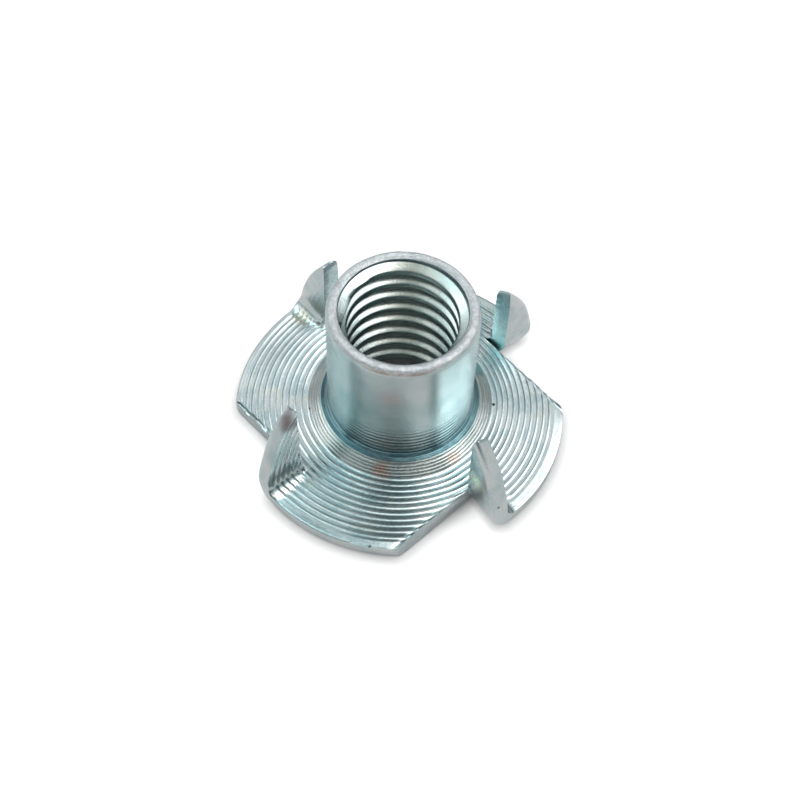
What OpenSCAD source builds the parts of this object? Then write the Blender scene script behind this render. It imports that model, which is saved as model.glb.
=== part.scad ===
// Four-prong tee nut, turned and stamped from one piece of steel.
// The nut stands on the rim of its dished flange, with the barrel pointing up +Z
// and the origin on the barrel's axis in the plane of the rim.
// Each prong is a segment of the flange, sheared along a straight cut and folded
// up about a radial line, so its inner edge stands upright and its outer edge is
// the old rim. The bore is plain, at the minor diameter of an M8 thread.

/* [Barrel] */
// Outside diameter of the barrel
barrel_d = 9.5; // [9.3:0.1:12]
// Height of the lip above the plane that the rim stands on
nut_h = 11.5; // [8:0.1:16]
// Radius that rounds the outside of the lip
lip_r = 0.4; // [0.1:0.05:0.5]
// Radius of the hollow corner at the foot of the barrel
foot_r = 0.4; // [0.2:0.05:0.8]

/* [Bore] */
// Diameter of the bore, the minor diameter of the thread
bore_d = 6.9; // [5:0.05:7]
// Width of the countersink at the lip, from the bore outwards
lip_sink = 0.75; // [0.3:0.05:0.8]
// Width of the countersink under the hub, from the bore outwards
under_sink = 0.8; // [0.3:0.05:1.2]

/* [Flange] */
// Diameter of the flange
flange_d = 21.7; // [19:0.1:26]
// Thickness of the flange
flange_t = 1.1; // [0.8:0.05:1.6]
// Rise of the dish from the rim to the hub
dish_h = 0.6; // [0.2:0.05:1]
// Width of the hub outside the barrel
hub_w = 1.25; // [1:0.05:1.6]
// Rise of the cone that joins the dish to the foot of the barrel
hub_rise = 0.65; // [0.3:0.05:1]
// Radius that rounds the lower edge of the rim
rim_r = 0.4; // [0.1:0.05:0.6]
// Width of the flat ring that the nut stands on
rest_w = 0.5; // [0.3:0.05:1]

/* [Turned rings] */
// Distance from one ridge to the next
ring_pitch = 0.4; // [0.3:0.02:0.8]
// Depth of the hollow between two ridges
ring_depth = 0.07; // [0.03:0.01:0.12]
// Least width of the smooth land left at the rim
land_w = 0.35; // [0.2:0.05:0.8]

/* [Prongs] */
// Number of prongs
prong_count = 4; // [3:1:5]
// Depth of the straight cuts, from the rim towards the axis
cut_in = 2.9; // [2:0.1:3.4]
// Gap that the shears leave beside the foot of a prong
shear_gap = 0.1; // [0.05:0.05:0.3]
// Inside radius of the bend at the foot of a prong
bend_r = 0.5; // [0.3:0.05:0.8]
// Width of the blunt tip of a prong
tip_w = 0.25; // [0.1:0.05:0.6]

/* [Hidden] */

// Share of the thickness at which the folded metal keeps its length
NEUTRAL = 0.4;
// Direction of the first fold line
FOLD_AZ = 45;
// Straight stretches in each rounded corner and in each hollow of a ring
CORNER_STEPS = 6;
RING_STEPS = 3;
// Height by which a ring cutter's ridges clear the face that it cuts
RIDGE_LIFT = 0.01;
// Reach of the cutting shapes past what they cut
PAST = 1;
$fn = 240;

barrel_r = barrel_d / 2;
bore_r = bore_d / 2;
flange_r = flange_d / 2;
hub_r = barrel_r + hub_w;
cut_u = flange_r - cut_in;
prong_u = cut_u + shear_gap;
rest_r = flange_r - rim_r - rest_w;
hub_top = flange_t + dish_h;
foot_z = hub_top + hub_rise;
ring_count = floor((flange_r - hub_r - land_w) / ring_pitch);

// Top of the flange over the radius r, along the ridges
function top_z(r) = flange_t + dish_h * (flange_r - r) / (flange_r - hub_r);

// Underside of the dish over the radius r
function under_z(r) = max(0, dish_h * (rest_r - r) / (rest_r - hub_r));

// Points of an arc about c, in even steps from angle a0 to a1
function arc(c, r, a0, a1) =
    [for (i = [0 : CORNER_STEPS])
        let (a = a0 + (a1 - a0) * i / CORNER_STEPS)
        [c[0] + r * cos(a), c[1] + r * sin(a)]];

// Depth of the turned hollow at step j of a ring
function hollow(j) = ring_depth * (1 - pow(2 * j / RING_STEPS - 1, 2));

// Radius at step j of ring i, counted outwards from the hub
function ring_r(i, j) = hub_r + ring_pitch * (i + j / RING_STEPS);

// Height at which the fold axis runs, over the middle of the strip that is folded
fold_z = top_z((cut_u + flange_r) / 2) + bend_r;
// Length of metal that goes into one bend
bend_len = (bend_r + NEUTRAL * flange_t) * PI / 2;
// Radius that the rim keeps on an upright prong
prong_rim_r = norm([flange_r, bend_len]);
// Height of the tip above the fold axis
tip_rise = sqrt(pow(prong_rim_r, 2) - pow(prong_u + tip_w, 2)) - bend_len;

// Half section of the whole nut, from the bore's lower edge round to its upper edge
nut_section = concat(
    [[bore_r, dish_h + under_sink],
     [bore_r + under_sink, dish_h],
     [hub_r, dish_h],
     [rest_r, 0]],
    arc([flange_r - rim_r, rim_r], rim_r, -90, 0),
    [[flange_r, top_z(flange_r)]],
    [for (i = [ring_count - 1 : -1 : 0], j = [RING_STEPS : -1 : 1])
        [ring_r(i, j), top_z(ring_r(i, j)) - hollow(j)]],
    [[hub_r, hub_top]],
    arc([barrel_r + foot_r, foot_z + foot_r], foot_r, 270, 180),
    arc([barrel_r - lip_r, nut_h - lip_r], lip_r, 0, 90),
    [[bore_r + lip_sink, nut_h],
     [bore_r, nut_h - lip_sink]]);

// Underside of the strip that is folded: x along the fold line, y down from the axis
strip_under = concat(
    [[prong_u, fold_z - under_z(prong_u)],
     [rest_r, fold_z]],
    [for (p = arc([flange_r - rim_r, rim_r], rim_r, -90, 0)) [p[0], fold_z - p[1]]],
    [[flange_r, fold_z - top_z(flange_r)]]);

// Rings that the strip crosses whole, and the hollow of each one as it crosses
first_ring = ceil((prong_u - hub_r) / ring_pitch);
strip_rings =
    [for (i = [ring_count - 1 : -1 : first_ring], j = [RING_STEPS : -1 : 0])
        [ring_r(i, j), fold_z - top_z(ring_r(i, j)) + hollow(j)]];

// Where the strip's top begins, beside the cut
strip_end = [prong_u, fold_z - top_z(prong_u)];

// Hollows of the rings as a prong carries them: x from the arcs' centre, y off the face
prong_rings = concat(
    [for (i = [0 : ring_count - 1], j = [0 : RING_STEPS - 1])
        [norm([ring_r(i, j), bend_len]), RIDGE_LIFT - hollow(j)]],
    [[norm([ring_r(ring_count, 0), bend_len]), RIDGE_LIFT],
     [norm([ring_r(ring_count, 0), bend_len]), PAST],
     [norm([hub_r, bend_len]), PAST]]);

// Turned body: barrel, hub and dished flange in one revolved section
module turned_body() {
    rotate_extrude() polygon(nut_section);
}

// What one pair of shears takes out of the flange, beside the fold line along +X
module notch() {
    translate([cut_u, -flange_d, -PAST])
        cube([cut_in + PAST, flange_d, foot_z + 2 * PAST]);
}

// Quarter turn that carries the metal from the flange up into the prong
module bend() {
    section = concat(strip_under, strip_rings, [strip_end]);
    translate([0, 0, fold_z])
        rotate([0, 90, 0]) rotate([0, 0, -90])
            rotate_extrude(angle = 90) polygon([for (p = section) [p[1], p[0]]]);
}

// Outline of the upright part: straight inner edge, blunt tip, outer edge from the rim
module prong_outline() {
    steps = 24;
    polygon(concat(
        [[prong_u, 0], [flange_r, 0]],
        [for (i = [1 : steps])
            let (h = tip_rise * i / steps)
            [sqrt(pow(prong_rim_r, 2) - pow(bend_len + h, 2)), h]],
        [[prong_u, tip_rise]]));
}

// Cutter for the rings on a prong's face, about the point where their centre has gone
module prong_ring_cutter() {
    tilt = atan(dish_h / (flange_r - hub_r));
    translate([0, top_z(0) - fold_z, fold_z - bend_len])
        rotate([0, 0, -tilt]) rotate([-90, 0, 0])
            rotate_extrude() polygon([for (p = prong_rings) [p[0] / cos(tilt), p[1]]]);
}

// Upright part of a prong
module blade() {
    difference() {
        intersection() {
            translate([0, 0, fold_z]) linear_extrude(tip_rise + PAST)
                polygon([for (p = concat(strip_under, [strip_end])) [p[0], -p[1]]]);
            translate([0, PAST, fold_z]) rotate([90, 0, 0])
                linear_extrude(fold_z + 2 * PAST) prong_outline();
        }
        prong_ring_cutter();
    }
}

module prong() {
    bend();
    blade();
}

module tee_nut() {
    color([0.74, 0.8, 0.81]) {
        difference() {
            turned_body();
            for (k = [0 : prong_count - 1])
                rotate([0, 0, FOLD_AZ + 360 * k / prong_count]) notch();
        }
        for (k = [0 : prong_count - 1])
            rotate([0, 0, FOLD_AZ + 360 * k / prong_count]) prong();
    }
}

tee_nut();
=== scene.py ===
"""Looks of a four-prong tee nut: turned, sheared, folded and zinc-plated steel on a white sweep."""

import math

import bmesh
import bpy
import numpy as np
from mathutils import Matrix, Vector


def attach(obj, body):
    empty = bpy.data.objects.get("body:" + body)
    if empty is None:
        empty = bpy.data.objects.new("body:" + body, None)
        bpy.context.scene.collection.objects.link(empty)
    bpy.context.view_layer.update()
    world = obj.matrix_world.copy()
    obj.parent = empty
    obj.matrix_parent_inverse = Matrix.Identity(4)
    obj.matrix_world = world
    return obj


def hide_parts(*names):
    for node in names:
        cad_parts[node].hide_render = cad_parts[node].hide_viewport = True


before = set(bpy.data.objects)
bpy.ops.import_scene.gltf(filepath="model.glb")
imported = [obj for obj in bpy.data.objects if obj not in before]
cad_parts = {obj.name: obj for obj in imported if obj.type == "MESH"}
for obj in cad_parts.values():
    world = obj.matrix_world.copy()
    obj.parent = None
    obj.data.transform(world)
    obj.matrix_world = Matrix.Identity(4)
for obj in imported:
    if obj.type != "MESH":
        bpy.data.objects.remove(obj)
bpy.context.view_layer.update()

MM = 0.001
NODE = "tee_nut"

# ---------------------------------------------------------------- sizes, in millimetres
BARREL_R, NUT_H = 4.75, 11.5                  # the barrel's radius and the whole height
ROOT_R, MINOR_R, THREAD_P = 4.0, 3.45, 1.25   # the thread's root, crest and pitch
FLANGE_R, FLANGE_T, DISH = 10.85, 1.1, 0.6    # rim, thickness, rise from the rim to the hub
HUB_R, HUB_TOP = 6.0, 1.7                     # where the hub's cone starts on the flange
FOOT_R, FOOT_Z = 0.4, 2.35                    # hollow corner between the cone and the barrel
RIM_ROUND, REST_R = 0.4, 9.95                 # the rim's lower edge, inside of the flat ring below
RING_P, RING_N, RING_D = 0.4, 11, 0.07        # turned rings: pitch, number, depth
CUT_U, SHEAR_GAP = 7.95, 0.1                  # the straight cuts' distance from the axis, their gap
NEUTRAL = 0.4                                 # neutral line of the folds, in shares of FLANGE_T
QUARTERS, FOLD_AZ = 4, 45.0                   # prongs, and the first fold line's azimuth in degrees

# ---------------------------------------------------------------- how each prong stands
# Counter-clockwise from the back right, in millimetres unless said otherwise:
#   bend   inside radius of the bend, without the ease
#   ease   how far before the fold line the bend begins
#   turn   turn in plan over the prong's width, as a slope
#   twist  twist of the tip in plan, in degrees
#   tip    rounding of the tip, in degrees at the rim
#   lift   how much longer the prong has grown
#   slant  how much lower the tip is on its ringed side, or on its plain side if negative
#   flat   how far beside the fold the lobe's rings take to come back
#   press  share of the rings' depth that the punch pressed away at the fold
#   worn   share of the rings' depth that is gone from the whole prong
PRONGS = [
    dict(bend=0.52, ease=0.3, turn=0.02, twist=6.0, tip=1.6, lift=0.1, slant=0.85,
         flat=0.5, press=0.9, worn=0.3),
    dict(bend=0.55, ease=0.55, turn=0.06, twist=0.0, tip=1.8, lift=-0.1, slant=0.0,
         flat=0.8, press=0.55, worn=0.93),
    dict(bend=0.45, ease=0.45, turn=0.06, twist=6.0, tip=2.2, lift=0.3, slant=-0.5,
         flat=0.3, press=0.4, worn=0.0),
    dict(bend=0.50, ease=0.3, turn=0.10, twist=0.0, tip=2.4, lift=0.1, slant=0.6,
         flat=0.5, press=0.8, worn=0.2),
]
LIFT_OVER = 6.0                     # length of prong over which its lift builds up
TURN_U = 8.6                        # where along the fold line the turn in plan pivots
SLANT_FROM, SLANT_OVER = 2.6, 3.2   # how far up the prong the slant begins, its length
TWIST_FROM, TWIST_OVER = 1.5, 4.5   # the same for the twist
EASE_OVER = 2.0                     # length that takes back the height which the ease adds
SLIT_OUT, SLIT_ACROSS = 0.8, 0.7    # how soon the bend is whole past the slit's end, both ways
PRESS_UP, PRESS_SOFT = 1.1, 0.5     # how far up the prong its rings are pressed flat, the fade

# Burr along the cut that ends each lobe: height near the rim, height near the prong
BURRS = [(0.10, 0.05), (0.10, 0.06), (0.26, 0.08), (0.16, 0.05)]
BURR_WIDTH = 0.11
BURR_START, BURR_RISE = 0.2, 0.8    # where along the cut it begins, and over what length
BURR_FROM, BURR_OVER = 2.5, 4.5     # where it grows on to its height near the rim
# Hollow behind the burr: distance from the cut, width, depth as a share of the burr's height
HOLLOW_AT, HOLLOW_WIDTH, HOLLOW_DEPTH = 0.27, 0.13, 0.12
# Rounding of each lobe's corner, in degrees at the rim, how far in from the rim it begins, and how
# nearly it is a full quarter circle, so that its end isn't too steep
CORNERS = [1.2, 0.6, 0.4, 2.0]
CORNER_REACH, CORNER_FULL = 0.45, 0.98

# How far the rings' centre lies from the rim's, in x and y, and where the smooth land begins
RING_OFFSET = (-0.15, 0.05)
LAND_R = 10.42
PRESS_WAVE = 0.035                  # what the press left uneven in the flange's height

# Dents knocked into the lip: place, radius, depth
DENTS = [((-2.0, -4.2), 0.33, 0.10), ((2.53, -3.94), 0.36, 0.11), ((0.9, -4.45), 0.16, 0.04),
         ((-3.9, 2.0), 0.30, 0.05), ((1.6, 4.1), 0.25, 0.05)]
# Waves in the lip: depth, how close they follow each other, seed
LIP_WAVES = [(0.022, 2.2, 31), (0.010, 7.0, 32)]
LIP_Z, LIP_IN, LIP_OUT = 10.95, 4.02, 4.9   # the lip lies above this height, between these radii

# Thread: height of the ridge's middle where it starts and ends, azimuth where it starts in
# degrees, points a turn, and how far its root is sunk in the bore's wall
THREAD_Z0, THREAD_Z1 = 0.95, 11.0
THREAD_AZ, TURN_POINTS, SUNK = 205.0, 150, 0.04
MOUTH_Z, HUB_SINK_Z = 11.2, 0.80    # heights of the bore's two ends, where it is countersunk


def smooth(x):
    """0 below 0, 1 above 1, and an eased rise between."""
    x = np.clip(x, 0.0, 1.0)
    return x * x * (3 - 2 * x)


def bump(x, centre, width):
    """Bell of height 1."""
    return np.exp(-(((x - centre) / width) ** 2))


def ripple(x, y, seed):
    """Smooth repeatable noise of about unit size, from a few plane waves."""
    rng = np.random.RandomState(seed)
    waves = 7
    out = 0.0
    for _ in range(waves):
        a, f, p = rng.uniform(0, 2 * math.pi), rng.uniform(0.6, 1.9), rng.uniform(0, 6.28)
        out = out + np.sin(f * (x * math.cos(a) + y * math.sin(a)) + p)
    return out / math.sqrt(waves / 2)


# ---------------------------------------------------------------- section of the nut
def top_z(r):
    """Height of the flange's top, without its rings."""
    return FLANGE_T + DISH * (FLANGE_R - r) / (FLANGE_R - HUB_R)


def under_z(r):
    """Height of the flange's underside."""
    return np.clip((REST_R - r) / (REST_R - HUB_R), 0.0, 1.0) * DISH


# Where the rows lie across one ring and where its steep side ends, in shares of its pitch
RING_X = np.array([0.0, 0.11, 0.22, 0.35, 0.51, 0.67, 0.84])
STEEP = 0.36


def ring_hollow(x):
    """Depth across one turned ring: a short steep side facing out, then a long side facing in."""
    x = x - np.floor(x)
    steep = np.sin(np.minimum(x, STEEP) / STEEP * math.pi / 2)
    shallow = np.cos((np.maximum(x, STEEP) - STEEP) / (1 - STEEP) * math.pi / 2)
    return np.where(x < STEEP, steep, shallow)


def groove(r):
    """What the rings take off the flange's height at radius r, as a negative number."""
    x = (r - HUB_R) / RING_P
    inside = (x > 1e-6) & (x < RING_N - 1e-6)
    return np.where(inside, -RING_D * ring_hollow(x), 0.0)


# Radii of the rows: over the rings, and on the smooth land by the rim. The stations are those from
# the cut outwards, without the rows that come too close to it.
RING_ROWS = (HUB_R + RING_P * (np.arange(RING_N)[:, None] + RING_X[None, :])).ravel()
RING_ROWS = np.append(RING_ROWS, HUB_R + RING_P * RING_N)
LAND = [10.45, 10.51, 10.57, 10.63, 10.69, 10.74, 10.77]
CLOSE = 0.02
STATIONS = np.array([CUT_U] + [r for r in RING_ROWS if r > CUT_U + CLOSE] + LAND)
N_ST = len(STATIONS)

# The rim's lower edge: the station where its rounding begins, and how far round it goes in degrees
ARC_FROM = int(np.argmin(np.abs(STATIONS - (FLANGE_R - RIM_ROUND))))
ARC_SWEEP = 76.0
# Radii and heights down the stack at the last station: the rim's own face
RIM_STACK = [(10.77, 1.10), (10.825, 1.082), (10.85, 1.02), (10.85, 0.72), (10.85, 0.44)]
LEVELS = len(RIM_STACK) + 1


def under_station(i):
    """Radius and height of the underside below station i, round the lower edge of the rim."""
    if i <= ARC_FROM:
        return STATIONS[i], float(under_z(STATIONS[i]))
    psi = math.radians(-90 + ARC_SWEEP * (i - ARC_FROM) / (N_ST - 1 - ARC_FROM))
    return (FLANGE_R - RIM_ROUND + RIM_ROUND * math.cos(psi),
            RIM_ROUND + RIM_ROUND * math.sin(psi))


def stack(i):
    """Radii and heights from the top to the underside at station i."""
    low = under_station(i)
    if i == N_ST - 1:
        return RIM_STACK + [low]
    r, z = STATIONS[i], float(top_z(STATIONS[i]) + groove(STATIONS[i]))
    return [(r + (low[0] - r) * t, z + (low[1] - z) * t) for t in np.linspace(0, 1, LEVELS)]


STACKS = np.array([stack(i) for i in range(N_ST)])


def inner_profile():
    """Rows from the flange's top, inwards over barrel, lip and bore, to the underside."""
    rows = [(r, float(top_z(r) + groove(r))) for r in RING_ROWS[::-1]
            if HUB_R < r < CUT_U - CLOSE]
    # the hub's cone and the hollow corner at the barrel's foot
    rows += [(HUB_R, HUB_TOP), (HUB_R - 0.03, HUB_TOP + 0.035)]
    for t in np.linspace(0.1, 0.97, 7):
        rows.append((HUB_R + (BARREL_R + FOOT_R - HUB_R) * t, HUB_TOP + (FOOT_Z - HUB_TOP) * t))
    for a in np.linspace(270, 180, 8):
        rows.append((BARREL_R + FOOT_R + FOOT_R * math.cos(math.radians(a)),
                     FOOT_Z + FOOT_R + FOOT_R * math.sin(math.radians(a))))
    # the barrel, its rounded lip and the countersink of its mouth
    rows += [(BARREL_R, z) for z in np.linspace(2.95, 10.6, 16)]
    rows += [(4.748, 10.85), (4.735, 11.05), (4.70, 11.22), (4.645, 11.36), (4.565, 11.45),
             (4.49, 11.49), (4.39, 11.5), (4.28, 11.495), (4.20, 11.475), (4.15, 11.45),
             (4.11, 11.415), (4.06, 11.37), (4.01, 11.32)]
    # the bore's wall, the countersink under the hub and the underside
    rows += [(ROOT_R, z) for z in (11.25, 9.0, 7.0, 5.0, 3.0, 1.2, 0.78)]
    rows += [(4.03, 0.70), (4.1, 0.62), (4.2, DISH), (5.0, DISH), (HUB_R, DISH)]
    rows += [(r, float(under_z(r))) for r in (6.3, 6.8, 7.3, 7.7)]
    return rows


INNER = np.array(inner_profile())

# ---------------------------------------------------------------- lobes and prongs
# Columns over a lobe and over a prong, as shares of the way to the cut that ends it. The last share
# of a lobe has closer columns for the rounded corner and the burr.
LOBE_END = 0.018
COLS = np.concatenate([np.linspace(0, 1 - LOBE_END, 86),
                       1 - LOBE_END * np.array([0.75, 0.5, 0.25, 0.1, 0.0])])
P_COLS = np.concatenate([np.linspace(0, 0.30, 18)[:-1], np.linspace(0.30, 0.97, 26)[:-1],
                         [0.97, 0.98, 0.99, 0.996, 1.0]])


def cut_angle(r):
    """Degrees from a fold line to the straight cut beside it, at radius r."""
    return np.degrees(np.arccos(np.clip(CUT_U / np.maximum(r, CUT_U), -1, 1)))


def corner_trim(r, size):
    """Degrees that a corner's rounding takes off at radius r."""
    q = np.clip((r - (FLANGE_R - CORNER_REACH)) / CORNER_REACH, 0, 1)
    return size * (1 - np.sqrt(1 - q * q * CORNER_FULL))


def ring_shift(r, th):
    """How far the rings are moved, as they were turned a little off the rim's centre."""
    w = smooth((r - HUB_R) / 2.0) * (1 - smooth((r - LAND_R) / (FLANGE_R - LAND_R)))
    t = np.radians(th)
    return w * (RING_OFFSET[0] * np.cos(t) + RING_OFFSET[1] * np.sin(t))


def unevenness(r, t, z):
    """What the press left in the flange's height at radius r and angle t (radians)."""
    wave = ripple(r * np.cos(t) * 0.5, r * np.sin(t) * 0.5, 5)
    return PRESS_WAVE * wave * smooth((r - 7.0) / 3.5) * np.clip(z, 0, 1)


def pressed(r, away, flat, soft):
    """How much of the rings the punch pressed flat, at a distance from the fold line."""
    return smooth((r - CUT_U) / 0.5) * (1 - smooth((away - flat) / soft))


def burr(k, q, along):
    """Height of the burr of lobe k, at q inwards from its cut and so far along from the fold."""
    near_rim, near_prong = BURRS[k]
    h = near_prong + (near_rim - near_prong) * smooth((along - BURR_FROM) / BURR_OVER)
    rough = 1 + 0.45 * ripple(along * 3.0, q * 2.0, 11 + k)
    hollow = HOLLOW_DEPTH * h * bump(q, HOLLOW_AT, HOLLOW_WIDTH)
    return h * rough * bump(q, 0.0, BURR_WIDTH) - hollow


def folded(p, r, u, s, d):
    """Sideways place of a blank point once its prong is folded, its height above the flat, and
    how far up the upright part it lies.

    s runs across the fold line (negative on the lobe), d is the height from the flange's top.
    The bend eases in a little before the fold line and dies out at the end of the slit.
    """
    ease = p["ease"]
    radius = p["bend"] + ease
    length = (radius + NEUTRAL * FLANGE_T) * math.pi / 2
    beta = np.clip((s + ease) / length, 0, 1) * math.pi / 2
    rest = np.maximum(0, s + ease - length)
    rise = rest * (1 + p["lift"] / LIFT_OVER) - (2 - math.pi / 2) * ease * smooth(rest / EASE_OVER)
    side = np.clip(-d / FLANGE_T, 0, 1)
    low = side if p["slant"] < 0 else 1 - side
    rise = rise - abs(p["slant"]) * low * smooth((rest - SLANT_FROM) / SLANT_OVER)
    reach = radius - d
    across = reach * np.sin(beta) - ease + p["turn"] * (u - TURN_U) * np.sin(beta)
    across = np.where(s < -ease, s, across)
    height = radius - reach * np.cos(beta) - d + rise
    share = 1 - (1 - smooth((r - CUT_U) / SLIT_OUT)) * (1 - smooth(s / SLIT_ACROSS))
    return s + share * (across - s), share * height, rest


def battered(pts):
    """Uneven, dented lip of the barrel."""
    x, y, z = pts[..., 0], pts[..., 1], pts[..., 2]
    r = np.hypot(x, y)
    on_lip = smooth((z - LIP_Z) / 0.35) * smooth((r - LIP_IN) / 0.10) * (r < LIP_OUT)
    down = sum(depth * (1 + ripple(x * close, y * close, seed)) / 2
               for depth, close, seed in LIP_WAVES)
    for (dx, dy), size, depth in DENTS:
        down = down + depth * bump(np.hypot(x - dx, y - dy), 0.0, size)
    out = pts.copy()
    out[..., 2] = z - np.clip(down, 0, None) * on_lip
    return out


def from_fold(u, s, z, a):
    """Points from their way along a fold line of angle a, across it, and height."""
    return np.stack([u * math.cos(a) + s * math.sin(a), u * math.sin(a) - s * math.cos(a), z], -1)


def as_rows(*values):
    """The values of a row of stations, ready to meet a row of columns."""
    return [np.asarray(value, float)[..., None] for value in values]


def lobe_points(k, r, z, on_top):
    """Places of one row of lobe k, whole or beside its cut."""
    r, z, on_top = as_rows(r, z, on_top)
    span = 90 - cut_angle(r) - corner_trim(r, CORNERS[k])
    a0 = FOLD_AZ + 90 * k
    th = a0 + span * COLS
    rr = r + ring_shift(r, th) * on_top
    t = np.radians(th)
    # the burr stands on the cut beside the next prong's fold line
    fold = math.radians(a0 + 90)
    q = CUT_U - rr * np.cos(t - fold)
    along = rr * np.abs(np.sin(t - fold))
    past_slit = (r > CUT_U + 0.01) * smooth((along - BURR_START) / BURR_RISE)
    zz = z + burr(k, q, along) * past_slit * on_top + unevenness(rr, t, z)
    # beside this prong's own fold line the lobe takes part in the bend
    p, a = PRONGS[k], math.radians(a0)
    u, s = rr * np.cos(t - a), -rr * np.sin(t - a)
    flattened = groove(r) * p["press"] * pressed(r, np.abs(s), 0.05, p["flat"]) * on_top
    bent, lift, _ = folded(p, r, u, s, z - flattened - top_z(r))
    by_fold = (s > -2.0) & (r > CUT_U) & (u > 0)
    s, lift = np.where(by_fold, bent, s), np.where(by_fold, lift, 0.0)
    return battered(from_fold(u, s, zz - flattened + lift, a))


def prong_points(k, r, z, on_top):
    """Places of one row of prong k after the fold: blank coordinates first, then the bend."""
    p = PRONGS[k]
    r, z, on_top = as_rows(r, z, on_top)
    phi = np.radians((cut_angle(r) - corner_trim(r, p["tip"])) * P_COLS)
    a0 = FOLD_AZ + 90 * k
    rr = r + ring_shift(r, a0 - np.degrees(phi)) * on_top
    u_flat, s = rr * np.cos(phi), rr * np.sin(phi)
    gone = p["press"] * pressed(r, s, PRESS_UP, PRESS_SOFT)
    gone = np.maximum(gone, p["worn"] * smooth((r - CUT_U) / 0.5) * smooth(s / 0.4))
    d = z - groove(r) * gone * on_top - top_z(r)
    u = u_flat + SHEAR_GAP * smooth(s / 0.5)
    s, lift, rest = folded(p, r, u, s, d)
    a = math.radians(a0)
    height = top_z(u_flat) + top_z(r) - top_z(rr) + d + unevenness(rr, a, z) + lift
    # the tip is wrung a little about the upright edge
    w = np.radians(p["twist"]) * smooth((rest - TWIST_FROM) / TWIST_OVER)
    u0, s0 = CUT_U + SHEAR_GAP, p["bend"] + 0.5 * FLANGE_T
    du, ds = u - u0, s - s0
    u, s = u0 + du * np.cos(w) - ds * np.sin(w), s0 + du * np.sin(w) + ds * np.cos(w)
    return from_fold(u, s, height, a)


def sheared(points, k):
    """The sheared end of lobe or prong k, from the flange's top to its underside."""
    return np.stack([points(k, STACKS[:, level, 0], STACKS[:, level, 1],
                            np.full(N_ST, float(level == 0)))[:, -1]
                     for level in range(LEVELS)])


# ---------------------------------------------------------------- mesh builder
class Shell:
    """Grids of points joined into one closed mesh, with marks coordinates and a cut flag."""

    WELD = 2e-7   # metres

    def __init__(self):
        self.points, self.faces, self.uvs, self.cuts, self.count = [], [], [], [], 0

    def grid(self, pts, cut=0.0):
        n, m = pts.shape[:2]
        self.points.append(pts.reshape(-1, 3))
        i, j = np.meshgrid(np.arange(n - 1), np.arange(m - 1), indexing="ij")
        a = i * m + j
        quad = np.stack([a, a + 1, a + m + 1, a + m], -1).reshape(-1, 4)
        # marks run along the rows: u is the way along a row, v the way across rows, in mm
        down, along = (np.linalg.norm(np.diff(pts, axis=axis), axis=-1) for axis in (0, 1))
        v = np.cumsum(np.vstack([np.zeros(m), down]), 0)
        v = np.repeat(v.mean(1, keepdims=True), m, 1)
        u = np.cumsum(np.hstack([np.zeros((n, 1)), along]), 1)
        if cut:
            u, v = v, u
        self.uvs.append(np.stack([u, v], -1).reshape(-1, 2)[quad].reshape(-1, 2))
        self.cuts.append(np.full(len(quad), cut))
        self.faces.append(quad + self.count)
        self.count += n * m

    def build(self, name, sharp_deg):
        mesh = bpy.data.meshes.new(name)
        pts = np.concatenate(self.points) * MM
        mesh.from_pydata(pts.tolist(), [], np.concatenate(self.faces).tolist())
        layer = mesh.uv_layers.new(name="marks")
        layer.data.foreach_set("uv", np.concatenate(self.uvs).astype(np.float32).ravel())
        cut = mesh.attributes.new("cut", "FLOAT", "FACE")
        cut.data.foreach_set("value", np.concatenate(self.cuts).astype(np.float32))
        bm = bmesh.new()
        bm.from_mesh(mesh)
        bmesh.ops.remove_doubles(bm, verts=bm.verts, dist=self.WELD)
        bmesh.ops.dissolve_degenerate(bm, edges=bm.edges, dist=self.WELD)
        bmesh.ops.recalc_face_normals(bm, faces=bm.faces)
        open_edges = sum(1 for e in bm.edges if not e.is_manifold)
        for f in bm.faces:
            f.smooth = True
        limit = math.radians(sharp_deg)
        for e in bm.edges:
            if len(e.link_faces) == 2:
                e.smooth = e.calc_face_angle(0) < limit
        bm.to_mesh(mesh)
        bm.free()
        mesh.update()
        tris = sum(len(p.vertices) - 2 for p in mesh.polygons)
        print(f"{name}: {len(mesh.vertices)} points, {tris} triangles, {open_edges} open edges")
        obj = bpy.data.objects.new(name, mesh)
        bpy.context.scene.collection.objects.link(obj)
        return obj


def nut_shell():
    """The whole nut but its thread: four lobes and four prongs, with a share of the barrel each."""
    shell = Shell()
    top, low = STACKS[:, 0], STACKS[:, -1]
    rim = np.array(RIM_STACK[1:])
    in_top = np.array([z > top_z(r) - 0.2 and r >= HUB_R for r, z in INNER], float)
    # full loop of rows: underside from the rim inwards, through the bore, out to the rim
    loop = np.concatenate([low[::-1], INNER[::-1], top, rim, low[-1:]])
    on_top = np.concatenate([np.zeros(N_ST), in_top[::-1], np.ones(N_ST), np.zeros(len(rim) + 1)])
    # and a prong's: top, rim and underside
    p_loop = np.concatenate([top, rim, low[::-1]])
    p_on_top = np.concatenate([np.ones(N_ST), np.zeros(len(rim) + N_ST)])
    for k in range(QUARTERS):
        shell.grid(lobe_points(k, loop[:, 0], loop[:, 1], on_top))
        shell.grid(sheared(lobe_points, k), 1.0)
        shell.grid(prong_points(k, p_loop[:, 0], p_loop[:, 1], p_on_top))
        shell.grid(sheared(prong_points, k), 1.0)
    return shell.build("nut_body", 50)


def clear_r(z):
    """Radius that the two countersinks leave clear at height z."""
    return np.maximum(ROOT_R + SUNK - 2.0 * (MOUTH_Z - z), ROOT_R + (HUB_SINK_Z - z))


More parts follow.
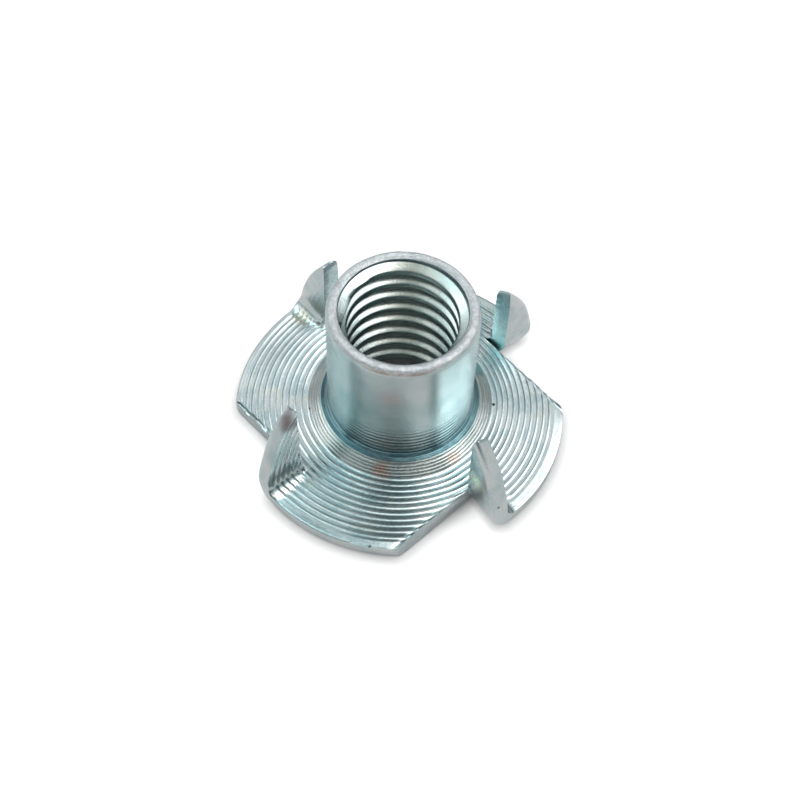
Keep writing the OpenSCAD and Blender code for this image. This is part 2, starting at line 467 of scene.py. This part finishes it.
def thread():
    """Ridge of the internal thread, one long right-hand helix."""
    shell = Shell()
    root_r = ROOT_R + SUNK
    # half of the ridge's section: radius, height from its middle
    half = [(root_r, 0.585), (3.97, 0.545), (3.75, 0.42), (3.53, 0.295), (3.475, 0.25),
            (MINOR_R, 0.19)]
    section = np.array([(r, -z) for r, z in half] + [(MINOR_R, 0.0)] + half[::-1])
    turns = (THREAD_Z1 - THREAD_Z0) / THREAD_P
    turn = np.linspace(0, turns * 2 * math.pi, int(turns * TURN_POINTS))
    t = turn + math.radians(THREAD_AZ)
    middle = THREAD_Z0 + THREAD_P * turn / (2 * math.pi)
    z = middle[:, None] + section[None, :, 1]
    r = np.maximum(section[None, :, 0], clear_r(z))
    # both ends run out into the wall
    run_out = smooth((np.minimum(turn, turn[-1] - turn) - 0.1) / 0.8)[:, None]
    r = r + (root_r - r) * (1 - run_out)
    buried = r > ROOT_R + 0.02
    r = np.minimum(r, root_r)
    z = np.where(buried, np.clip(z, HUB_SINK_Z + 0.05, MOUTH_Z), z)
    pts = np.stack([r * np.cos(t)[:, None], r * np.sin(t)[:, None], z], -1)
    pts = np.concatenate([pts, pts[:, :1]], 1)
    shell.grid(pts)
    for end in (0, -1):
        ring = pts[end, :-1]
        middle_point = (len(ring) + 1) // 2
        shell.grid(np.stack([ring[:middle_point], ring[::-1][:middle_point]]))
    return shell.build("thread", 40)


# ---------------------------------------------------------------- materials
class Nodes:
    """Short spellings for a node tree."""

    def __init__(self, tree):
        self.tree = tree

    def add(self, kind, **props):
        node = self.tree.nodes.new(kind)
        for key, value in props.items():
            setattr(node, key, value)
        return node

    def plug(self, value, socket):
        if isinstance(value, bpy.types.NodeSocket):
            self.tree.links.new(value, socket)
        else:
            socket.default_value = value

    def math(self, op, a, b=0.0, c=0.0, clamp=False):
        node = self.add("ShaderNodeMath", operation=op, use_clamp=clamp)
        for value, socket in zip((a, b, c), node.inputs):
            self.plug(value, socket)
        return node.outputs[0]

    def times(self, first, *others):
        """Product of shares."""
        for other in others:
            first = self.math("MULTIPLY", first, other)
        return first

    def vector(self, op, a, b=(0, 0, 0), scale=1.0):
        node = self.add("ShaderNodeVectorMath", operation=op)
        self.plug(a, node.inputs[0])
        self.plug(b, node.inputs[1])
        node.inputs[3].default_value = scale
        return node.outputs["Value" if op in ("DOT_PRODUCT", "LENGTH", "DISTANCE") else "Vector"]

    def split(self, vector):
        node = self.add("ShaderNodeSeparateXYZ")
        self.plug(vector, node.inputs[0])
        return node.outputs

    def remap(self, value, lo, hi, to_lo=0.0, to_hi=1.0):
        """The value taken from lo…hi to to_lo…to_hi, with an eased rise and held ends."""
        node = self.add("ShaderNodeMapRange", interpolation_type="SMOOTHSTEP")
        keys = ("Value", "From Min", "From Max", "To Min", "To Max")
        for key, v in zip(keys, (value, lo, hi, to_lo, to_hi)):
            self.plug(v, node.inputs[key])
        return node.outputs["Result"]

    def band(self, value, lo, hi, soft):
        """1 between lo and hi, fading over soft on both sides."""
        return self.times(self.remap(value, lo - soft, lo),
                          self.remap(value, hi, hi + soft, 1.0, 0.0))

    def mix(self, share, a, b):
        node = self.add("ShaderNodeMix", data_type="RGBA")
        self.plug(share, node.inputs["Factor"])
        for value, socket in ((a, node.inputs[6]), (b, node.inputs[7])):
            self.plug((*value, 1) if isinstance(value, tuple) else value, socket)
        return node.outputs[2]

    def noise(self, where, scale, detail=2.0, rough=0.5, distortion=0.0, one_d=False):
        node = self.add("ShaderNodeTexNoise", noise_dimensions="1D" if one_d else "3D")
        self.plug(where, node.inputs["W" if one_d else "Vector"])
        for key, value in (("Scale", scale), ("Detail", detail), ("Roughness", rough),
                           ("Distortion", distortion)):
            node.inputs[key].default_value = value
        return node.outputs["Fac"]

    def lines(self, place, pitch, wobble):
        """Waves that follow each other at the pitch, moved a little by the wobble."""
        place = self.math("MULTIPLY_ADD", wobble, WOBBLE, place)
        return self.math("SINE", self.math("MULTIPLY", place, 2 * math.pi / pitch))


def new_material(name):
    m = bpy.data.materials.new(name)
    m.use_nodes = True
    m.node_tree.nodes.clear()
    n = Nodes(m.node_tree)
    out = n.add("ShaderNodeOutputMaterial")
    return m, n, out


# Patches of colour, and painted highlights, shade and reflections as said above each: centre in mm,
# radius in mm, colour, strength
PATCHES_AND_PAINTED_LIGHT = [
    ((-1.0, -5.64, 1.91), 0.8, (0.50, 0.28, 0.22), 0.75),
    ((3.57, -4.49, 1.9), 0.7, (0.50, 0.34, 0.26), 0.60),
    # painted reflection: a dark brown streak on the barrel's front
    ((-0.52, -4.72, 8.57), 1.1, (0.50, 0.40, 0.38), 0.50),
    # painted reflection: a pale yellow glint on prong B's face
    ((4.94, -7.34, 4.07), 0.95, (0.93, 0.94, 0.72), 0.90),
    # painted shade: dark low on prong B, by its bend
    ((4.73, -7.05, 2.45), 0.6, (0.13, 0.16, 0.14), 0.80),
    # painted shade: darker straw over prong D's bend, toning down its reflection
    ((-7.06, 6.69, 1.22), 1.0, (0.40, 0.38, 0.30), 0.85),
    # painted shade: dark brown below prong A's tip
    ((-6.64, -5.74, 7.05), 1.02, (0.13, 0.095, 0.095), 0.90),
    # painted highlight: a white glint on prong A's tip
    ((-6.38, -5.25, 7.85), 0.42, (1.0, 0.98, 0.96), 0.95),
    # painted reflection: darker teal on prong A's ringed face
    ((-6.9, -6.3, 4.3), 1.2, (0.22, 0.35, 0.36), 0.60),
    ((-8.6, 4.4, 1.3), 2.4, (0.36, 0.41, 0.42), 0.75),
]
# The same on sheared faces only: painted reflection, cyan and teal on prong C's sheared side
CUT_PAINTED_REFLECTIONS = [
    ((6.4, 5.0, 2.4), 1.9, (0.66, 0.95, 0.96), 0.95),
    ((6.4, 5.0, 5.4), 1.9, (0.46, 0.68, 0.72), 0.85),
]
# Black pits in the plating: centre in mm, radius in mm
PITS = [
    ((6.2, 0.04, 1.61), 0.13), ((-5.89, -1.04, 1.72), 0.10), ((-6.13, -5.51, 3.16), 0.11),
    ((-1.42, -10.7, 1.09), 0.10), ((3.42, -3.29, 4.18), 0.09), ((6.45, -8.52, 2.92), 0.10),
]

PALE, BLUISH = (0.575, 0.61, 0.612), (0.42, 0.505, 0.517)
STRAW, STRAW_TINT = (0.60, 0.59, 0.50), (0.62, 0.62, 0.54)
BARREL_LINES, HUB_LINES = 0.35, 0.165     # pitch of the tool's finer lines, mm
WOBBLE = 0.12                             # how far those lines stray, mm
RELIEF, RELIEF_SHARE = 0.03, 0.55         # height of the marks' relief in mm, its strength


def zinc(name, rough_base, anisotropy, straw_tint=0.0):
    """Bright zinc over turned steel.

    anisotropy stretches its highlights across the turning marks; straw_tint is the share of a
    straw tint, which only the thread has; with the thread's sides painted bluer it makes a painted
    reflection, warm in the thread's middle.
    """
    m, n, out = new_material(name)
    bsdf = n.add("ShaderNodeBsdfPrincipled")
    n.tree.links.new(bsdf.outputs[0], out.inputs[0])
    bsdf.inputs["Metallic"].default_value = 1.0
    bsdf.inputs["Anisotropic"].default_value = anisotropy
    bsdf.inputs["Anisotropic Rotation"].default_value = 0.25

    where = n.vector("SCALE", n.add("ShaderNodeTexCoord").outputs["Object"], scale=1 / MM)
    x, y, z = n.split(where)
    radius = n.vector("LENGTH", n.vector("MULTIPLY", where, (1, 1, 0)))
    marks = n.add("ShaderNodeUVMap", uv_map="marks").outputs[0]
    cut = n.add("ShaderNodeAttribute", attribute_name="cut").outputs["Fac"]

    # turning marks follow the rows; the plating adds a fine grain and a slow unevenness
    wander = n.noise(where, 1.3, 2.0)
    across = n.math("MULTIPLY_ADD", wander, 0.10, n.split(marks)[1])
    coarse = n.noise(across, 9.0, 3.0, 0.65, one_d=True)
    fine = n.noise(across, 34.0, 2.0, 0.6, one_d=True)
    grain = n.noise(where, 16.0, 3.0, 0.6)
    slow = n.noise(where, 0.55, 3.0, 0.5)
    patch = n.noise(where, 0.9, 4.0, 0.6, 0.4)

    # places on the nut, as shares
    side = n.times(n.band(radius, 4.7, 5.3, 0.05), n.band(z, 2.2, 11.2, 0.2))
    # painted reflection: the barrel's front and its flanks, by which way they face
    flank = n.remap(n.math("ABSOLUTE", x), 1.2, 3.4)
    low_side = n.times(n.band(z, 2.7, 3.9, 1.6), n.band(radius, 4.7, 4.9, 0.03))
    # painted shade: the hollow corner at the barrel's foot, dark blue
    foot = n.times(n.band(radius, 4.70, 5.17, 0.06), n.band(z, 2.1, 2.65, 0.5))
    cone = n.times(n.band(radius, 5.3, 5.95, 0.1), n.band(z, 1.5, 2.4, 0.1))
    # painted shade: darker on the bore's wall, below its mouth
    mouth = n.times(n.band(radius, 3.99, 4.06, 0.012), n.remap(z, 11.2, 11.38, 1.0, 0.0))
    # painted reflection: teal on the thread's crests
    crest = n.remap(radius, MINOR_R + 0.02, MINOR_R + 0.09, 1.0, 0.0)
    lip = n.times(n.band(z, 11.33, 11.6, 0.10), n.band(radius, 4.05, 4.74, 0.04))
    lip_edges = n.times(n.band(z, 11.30, 11.6, 0.08),
                        n.remap(n.math("ABSOLUTE", n.math("SUBTRACT", radius, 4.38)), 0.22, 0.32))
    under_lip = n.times(n.band(z, 11.12, 11.27, 0.05), n.remap(y, -4.6, -4.1, 1.0, 0.0))
    lines = n.lines(z, BARREL_LINES, wander)
    from_axis = n.math("MULTIPLY", n.math("ADD", x, y), math.sqrt(0.5))
    # painted shade: a dark line along the right lobe's cut, by its burr
    burr_shade_line = n.times(n.band(from_axis, CUT_U - 0.17, CUT_U + 0.05, 0.03),
                         n.remap(n.math("SUBTRACT", x, y), 2.0, 3.2))

    # colour: pale blue-white, and over it one coat after the other as share, strength and colour
    colour = n.mix(n.remap(slow, 0.35, 0.68), PALE, BLUISH)
    coats = [
        # straw-coloured places, turning marks, the light and the dark of the grain
        (n.remap(patch, 0.52, 0.72), 0.45, STRAW),
        (n.remap(fine, 0.40, 0.75), 0.25, (0.34, 0.41, 0.43)),
        (n.remap(grain, 0.54, 0.72), 0.40, (0.90, 0.93, 0.94)),
        (n.remap(grain, 0.46, 0.30), 0.40, (0.26, 0.32, 0.33)),
        # painted reflection: the barrel is darker and neutral in front and bluer on its flanks;
        # painted shade: dark blue in its hollow foot
        (side, n.math("MULTIPLY_ADD", flank, -0.35, 0.35), (0.36, 0.35, 0.34)),
        (side, n.math("MULTIPLY_ADD", flank, 0.38, 0.12), (0.36, 0.57, 0.59)),
        (foot, 0.92, n.mix(n.remap(radius, 4.86, 5.0), (0.22, 0.37, 0.41),
                           n.mix(n.remap(patch, 0.40, 0.62), (0.012, 0.045, 0.06),
                                 (0.05, 0.11, 0.12)))),
        # painted shade on the bore's wall below its mouth, painted reflection in teal on the
        # thread's crest, and the hub's cone
        (mouth, 0.75, (0.16, 0.28, 0.31)),
        (crest, 0.8, (0.26, 0.48, 0.52)),
        (cone, 0.5, (0.42, 0.42, 0.38)),
        (cone, n.remap(coarse, 0.45, 0.62, 0.0, 0.5), (0.20, 0.24, 0.25)),
    ]
    # painted reflection: the thread gets the straw tint and is bluer towards its sides, so that it
    # is warm in its middle
    if straw_tint:
        side_reflection = n.remap(n.math("ABSOLUTE", n.math("ADD", x, -0.3)), 1.4, 3.2)
        coats += [(straw_tint, 1.0, STRAW_TINT), (side_reflection, 0.6, (0.36, 0.44, 0.46))]
    coats += [
        # the lip is mottled, bright where its edges are worn, and rusty below its front
        (lip, 0.80, n.mix(n.remap(n.noise(where, 4.5, 4.0, 0.7), 0.40, 0.62),
                          (0.44, 0.435, 0.445), (0.61, 0.605, 0.62))),
        (n.times(lip_edges, n.remap(grain, 0.42, 0.58)), 0.7, (0.86, 0.86, 0.88)),
        (n.times(under_lip, n.remap(patch, 0.38, 0.55)), 0.7, (0.30, 0.22, 0.17)),
        # the tool's lines show low on the barrel
        (n.times(n.remap(lines, 0.1, 0.9), n.remap(patch, 0.35, 0.6), low_side), 0.8,
         (0.13, 0.24, 0.27)),
        # sheared faces are duller and darker, and a dark line along the right lobe's burr is
        # painted shade
        (cut, 0.4, (0.38, 0.43, 0.44)),
        (burr_shade_line, 0.8, (0.07, 0.09, 0.10)),
    ]
    for share, strength, tint in coats:
        colour = n.mix(n.times(share, strength), colour, tint)
    # patches, painted light among them, from the two tables above
    for patch_table, places in ((PATCHES_AND_PAINTED_LIGHT, 1.0), (CUT_PAINTED_REFLECTIONS, cut)):
        for centre, size, tint, strength in patch_table:
            away = n.math("MULTIPLY_ADD", patch, 0.8, n.vector("DISTANCE", where, centre))
            share = n.remap(away, size * 0.5, size * 1.6, strength, 0.0)
            colour = n.mix(n.times(share, places), colour, tint)
    for centre, size in PITS:
        away = n.vector("DISTANCE", where, centre)
        share = n.remap(away, size * 0.5, size * 1.1, 0.95, 0.0)
        colour = n.mix(share, colour, (0.03, 0.03, 0.03))
    n.plug(colour, bsdf.inputs["Base Color"])

    rough = rough_base
    for value, weight in ((slow, 0.08), (coarse, 0.06), (cut, 0.10), (lip, 0.34)):
        rough = n.math("MULTIPLY_ADD", value, weight, rough)
    n.plug(rough, bsdf.inputs["Roughness"])

    # relief: the turning marks, the grain, the finer lines of hub and barrel, the hammered lip
    height = n.times(fine, n.math("MULTIPLY_ADD", n.band(radius, 5.0, 6.0, 0.2), 0.42, 0.10))
    for value, weight in ((coarse, 0.40), (grain, 0.50),
                          (n.times(n.lines(radius, HUB_LINES, slow), cone), 0.30),
                          (n.times(n.noise(where, 6.5, 4.0, 0.65), lip), 5.0),
                          (n.times(lines, low_side), 0.85)):
        height = n.math("MULTIPLY_ADD", value, weight, height)
    relief = n.add("ShaderNodeBump")
    relief.inputs["Strength"].default_value = RELIEF_SHARE
    relief.inputs["Distance"].default_value = RELIEF * MM
    n.plug(height, relief.inputs["Height"])
    n.plug(relief.outputs[0], bsdf.inputs["Normal"])
    tangent = n.add("ShaderNodeTangent", direction_type="UV_MAP", uv_map="marks")
    n.plug(tangent.outputs[0], bsdf.inputs["Tangent"])
    return m


def on_barrel(place):
    """Whether a place in mm is on the barrel's outside, between its foot and its lip."""
    r = math.hypot(place.x, place.y)
    return BARREL_R - 0.4 < r < 5.3 and FOOT_Z + 0.1 < place.z < NUT_H - 0.25


nut = nut_shell()
ridge = thread()
for name, rough_base, anisotropy in (("zinc_faced", 0.10, 0.3), ("zinc_barrel", 0.13, 0.85)):
    nut.data.materials.append(zinc(name, rough_base, anisotropy))
for face in nut.data.polygons:
    face.material_index = int(on_barrel(face.center / MM))
ridge.data.materials.append(zinc("zinc_thread", 0.16, 0.6, 0.5))
for piece in (nut, ridge):
    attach(piece, "root")
    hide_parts(NODE)

# ---------------------------------------------------------------- floor, world and lamps
FLOOR_HALF = 0.6                          # metres, as are the next three
# painted shadow: the floor's glow is held down under the nut, rising from SHADE_IN to SHADE_OUT
SHADE_IN, SHADE_OUT = 0.0070, 0.0098      # the floor's glow begins beyond the bore and the hub
CREVICE = 0.0008                          # reach of the dark line where the nut meets the floor
FLOOR_GLOW, GLOSS_GLOW = 0.84, 0.69       # the floor's own white, and its share in reflections

floor_mesh = bpy.data.meshes.new("floor")
floor_mesh.from_pydata([(-FLOOR_HALF, -FLOOR_HALF, 0), (FLOOR_HALF, -FLOOR_HALF, 0),
                        (FLOOR_HALF, FLOOR_HALF, 0), (-FLOOR_HALF, FLOOR_HALF, 0)],
                       [], [(0, 1, 2, 3)])
floor = bpy.data.objects.new("floor", floor_mesh)
bpy.context.scene.collection.objects.link(floor)


def gloss_or_glass(n, path):
    return n.math("ADD", path["Is Glossy Ray"], path["Is Transmission Ray"], clamp=True)


def sweep():
    """White floor: part of its white is its own, so that the shadow stays soft.

    The camera sees that glow whole, and reflections and glass see a share of it. Under the nut the
    glow is held down, a painted shadow, and ambient occlusion darkens it close round the nut into a
    contact shadow.
    """
    m, n, out = new_material("white_sweep")
    diffuse = n.add("ShaderNodeBsdfDiffuse")
    diffuse.inputs["Color"].default_value = (0.86, 0.85, 0.84, 1)
    glow = n.add("ShaderNodeEmission")
    path = n.add("ShaderNodeLightPath").outputs
    seen = n.math("MULTIPLY_ADD", gloss_or_glass(n, path), GLOSS_GLOW, path["Is Camera Ray"])
    where = n.add("ShaderNodeTexCoord").outputs["Object"]
    # painted shadow under the nut: the glow rises from its centre out to beyond the hub
    beside = n.remap(n.vector("LENGTH", where), SHADE_IN, SHADE_OUT, 0.02, 1.0)
    # contact shadow where the nut meets the floor, from ambient occlusion of the glow
    near = n.add("ShaderNodeAmbientOcclusion", samples=8)
    near.inputs["Distance"].default_value = CREVICE
    beside = n.times(beside, n.math("POWER", near.outputs["AO"], 1.15))
    n.plug(n.times(seen, FLOOR_GLOW, beside), glow.inputs["Strength"])
    both = n.add("ShaderNodeAddShader")
    n.tree.links.new(diffuse.outputs[0], both.inputs[0])
    n.tree.links.new(glow.outputs[0], both.inputs[1])
    n.tree.links.new(both.outputs[0], out.inputs[0])
    return m


floor.data.materials.append(sweep())

# Soft boxes of the studio: from and to azimuth (0 the front, 90 the right), its softness, from and
# to elevation, its softness, all in degrees, then colour and strength
ROOM = [
    (-152, -108, 8, 20, 34, 6, (1.0, 1.0, 1.0), 0.95),
    (-114, -80, 3, 52, 82, 5, (0.74, 1.0, 1.03), 3.0),
    (-120, -62, 5, 32, 50, 4, (0.92, 1.0, 1.0), 0.8),
    (-60, -38, 3, 55, 70, 4, (0.95, 1.0, 1.0), 2.2),
    (-46, -16, 5, 38, 49, 4, (1.0, 0.96, 0.92), 0.6),
    (-14, 12, 8, 58, 68, 4, (1.0, 0.92, 0.74), 0.45),
    (22, 54, 4, 38, 49, 4, (1.0, 0.97, 0.92), 1.2),
    (31, 43, 3, 55, 66, 4, (1.0, 0.97, 0.95), 1.8),
    (10, 34, 3, 68, 84, 4, (1.0, 0.98, 0.94), 0.8),
    (58, 136, 2, 50, 84, 5, (1.0, 1.0, 1.0), 5.6),
    (62, 118, 5, 32, 48, 4, (0.95, 1.0, 1.0), 1.2),
    (138, 172, 4, 66, 84, 4, (0.95, 1.0, 1.0), 4.2),
    (-92, -54, 6, 2, 28, 6, (0.95, 1.0, 1.0), 0.60),
    (54, 92, 6, 2, 28, 6, (0.95, 1.0, 1.0), 0.34),
    (100, 150, 6, 18, 32, 5, (0.95, 1.0, 1.0), 0.30),
    (134, 178, 4, 34, 60, 8, (0.97, 1.0, 1.0), 0.90),
    (-176, -138, 5, 33, 58, 6, (1.0, 1.0, 1.0), 1.02),
]
# The room between the boxes: high up, at the horizon, and as dull surfaces see it
ROOM_DARK = (0.060, 0.115, 0.130)
ROOM_EDGE = (0.60, 0.63, 0.65)
ROOM_DULL = (0.20, 0.20, 0.20)
WHITE = (1.0, 1.0, 1.0)


def studio():
    """World: soft boxes for reflections, an even grey for dull surfaces, white for the camera."""
    world = bpy.data.worlds.new("studio")
    bpy.context.scene.world = world
    world.use_nodes = True
    world.node_tree.nodes.clear()
    n = Nodes(world.node_tree)
    out = n.add("ShaderNodeOutputWorld")
    back = n.add("ShaderNodeBackground")
    n.tree.links.new(back.outputs[0], out.inputs[0])
    look = n.vector("NORMALIZE", n.add("ShaderNodeTexCoord").outputs["Generated"])
    up = n.split(look)[2]
    height = n.math("DEGREES", n.math("ARCSINE", up))
    level = n.vector("NORMALIZE", n.vector("MULTIPLY", look, (1, 1, 0)))
    colour = n.mix(n.remap(up, 0.0, 0.22, 1.0, 0.0), ROOM_DARK, ROOM_EDGE)
    for az0, az1, az_soft, el0, el1, el_soft, tint, power in ROOM:
        mid, half = math.radians((az0 + az1) / 2), (az1 - az0) / 2
        near = n.vector("DOT_PRODUCT", level, (math.sin(mid), -math.cos(mid), 0))
        share = n.remap(near, math.cos(math.radians(half + az_soft)), math.cos(math.radians(half)))
        share = n.times(share, n.band(height, el0, el1, el_soft))
        spread = n.add("ShaderNodeCombineXYZ")
        for socket in spread.inputs:
            n.plug(share, socket)
        lit = n.add("ShaderNodeVectorMath", operation="MULTIPLY_ADD")
        n.plug(spread.outputs[0], lit.inputs[0])
        lit.inputs[1].default_value = tuple(c * power for c in tint)
        n.plug(colour, lit.inputs[2])
        colour = lit.outputs[0]
    path = n.add("ShaderNodeLightPath").outputs
    colour = n.mix(gloss_or_glass(n, path), ROOM_DULL, colour)
    colour = n.mix(path["Is Camera Ray"], colour, WHITE)
    n.plug(colour, back.inputs[0])
    back.inputs[1].default_value = 1.0


studio()


def lamp(name, place, size, watts):
    """Square area lamp that faces the nut; place and size in metres."""
    data = bpy.data.lights.new(name, "AREA")
    data.energy, data.size = watts, size
    obj = bpy.data.objects.new(name, data)
    obj.location = place
    obj.rotation_euler = (-Vector(place)).to_track_quat("-Z", "Y").to_euler()
    bpy.context.scene.collection.objects.link(obj)


lamp("key_left", (-0.16, 0.04, 0.12), 0.09, 0.05)
lamp("fill_right", (0.14, 0.06, 0.10), 0.06, 0.02)

# ---------------------------------------------------------------- camera
# Fitted to the photograph: elevation, roll and turn about the nut in radians, the focal length in
# pixels, the distance in barrel radii, and the pixel where the flange's centre shows
PICTURE = 800
ELEVATION, ROLL, TURN = 0.97721, 0.04000, math.radians(0.5)
FOCAL, DIST, CENTRE_U, CENTRE_V = 1431.0, 20.0, 399.6, 404.8
SENSOR = 36.0

cam = bpy.data.cameras.new("camera")
cam_obj = bpy.data.objects.new("camera", cam)
bpy.context.scene.collection.objects.link(cam_obj)
back = Vector((0, -math.cos(ELEVATION), math.sin(ELEVATION)))
right = Vector((1, 0, 0))
up = back.cross(right)
rolled_right = math.cos(ROLL) * right + math.sin(ROLL) * up
rolled_up = -math.sin(ROLL) * right + math.cos(ROLL) * up
place = (back * DIST - rolled_right * ((CENTRE_U - PICTURE / 2) / FOCAL * DIST)
         + rolled_up * ((CENTRE_V - PICTURE / 2) / FOCAL * DIST))
place = place * BARREL_R + Vector((0, 0, FLANGE_T))
axes = Matrix((rolled_right, rolled_up, back)).transposed().to_4x4()
axes.translation = place * MM
cam_obj.matrix_world = Matrix.Rotation(TURN, 4, "Z") @ axes
cam.sensor_width = SENSOR
cam.lens = FOCAL / PICTURE * SENSOR
cam.clip_start, cam.clip_end = 0.005, 5.0
bpy.context.scene.camera = cam_obj
bpy.context.scene.view_settings.view_transform = "Standard"
